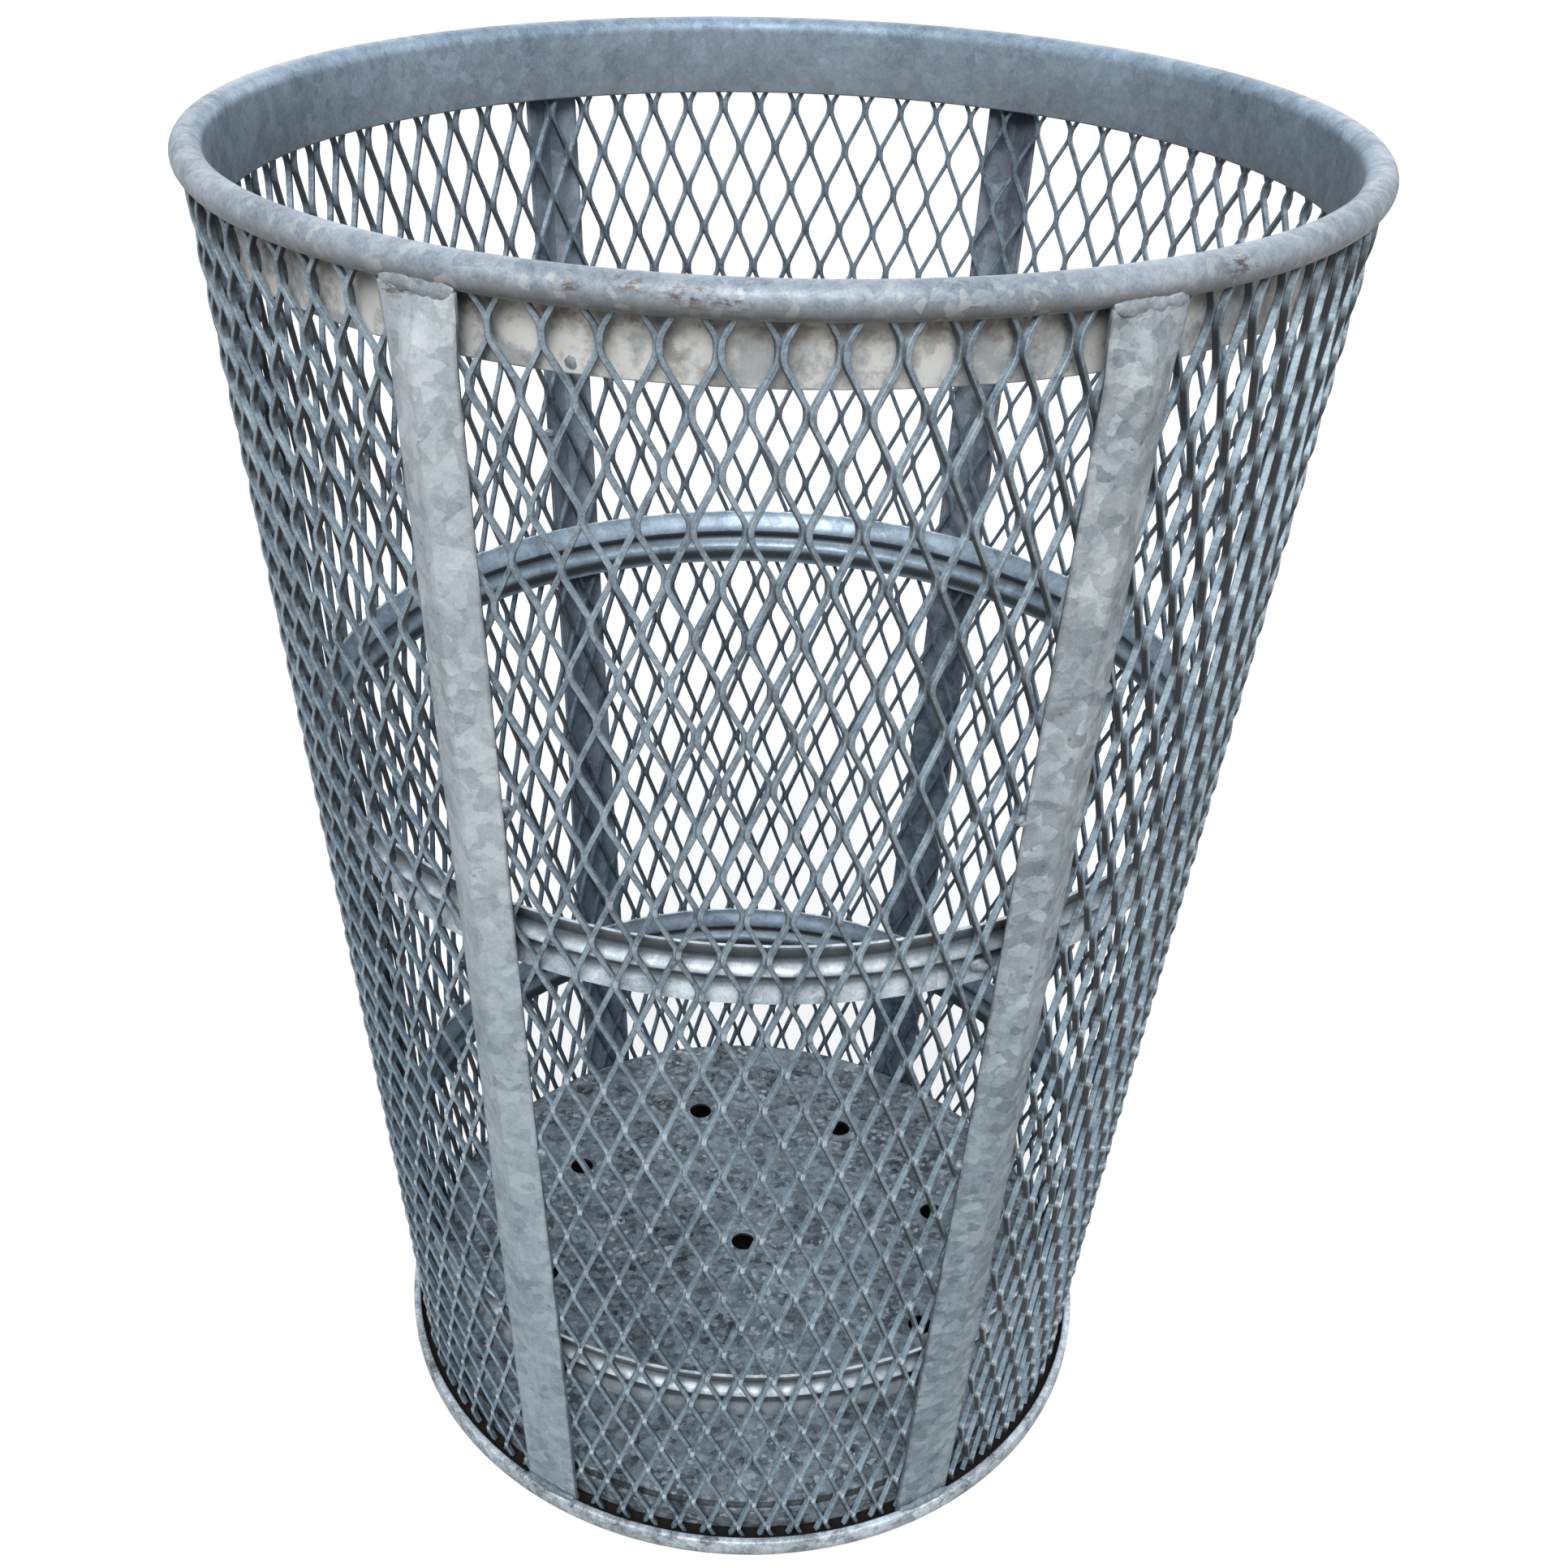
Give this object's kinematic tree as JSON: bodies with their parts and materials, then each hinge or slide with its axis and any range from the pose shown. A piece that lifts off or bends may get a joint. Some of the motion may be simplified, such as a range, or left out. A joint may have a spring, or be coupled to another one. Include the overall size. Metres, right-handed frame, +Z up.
{
  "type": "litter basket",
  "caption": "Tapered open-topped litter basket of galvanised steel: expanded-metal wall, rolled rim, folded upright ribs, inner hoops, drained bottom plate and base ring.",
  "frame": {"origin": "centre of the base ring's underside, on the ground", "axes": "+Z up the basket's axis; -Y towards the viewer, with a mesh panel in the middle and a rib 30 degrees to each side"},
  "size_m": [0.6188, 0.61, 0.842],
  "materials": {
    "rim": "hot-dip galvanised, weathered",
    "mesh": "hot-dip galvanised, weathered",
    "rib": "hot-dip galvanised, patchy spangle",
    "hoop": "hot-dip galvanised, bright",
    "plate": "hot-dip galvanised, dulled and mottled",
    "ring": "hot-dip galvanised, weathered",
    "weld": "galvanised weld bead, lumpy"
  },
  "bodies": {
    "root": {"rim_collar": "rim", "mesh_panel_1": "mesh", "mesh_panel_2": "mesh", "mesh_panel_3": "mesh", "mesh_panel_4": "mesh", "mesh_panel_5": "mesh", "mesh_panel_6": "mesh", "rib_1": "rib", "rib_2": "rib", "rib_3": "rib", "rib_4": "rib", "rib_5": "rib", "rib_6": "rib", "upper_hoop": "hoop", "lower_hoop": "hoop", "bottom_plate": "plate", "base_ring": "ring", "rim_weld_1": "weld", "rim_weld_2": "weld", "rim_weld_3": "weld", "rim_weld_4": "weld", "rim_weld_5": "weld", "rim_weld_6": "weld", "base_weld_1": "weld", "base_weld_2": "weld", "base_weld_3": "weld", "base_weld_4": "weld", "base_weld_5": "weld", "base_weld_6": "weld"}
  },
  "joints": []
}
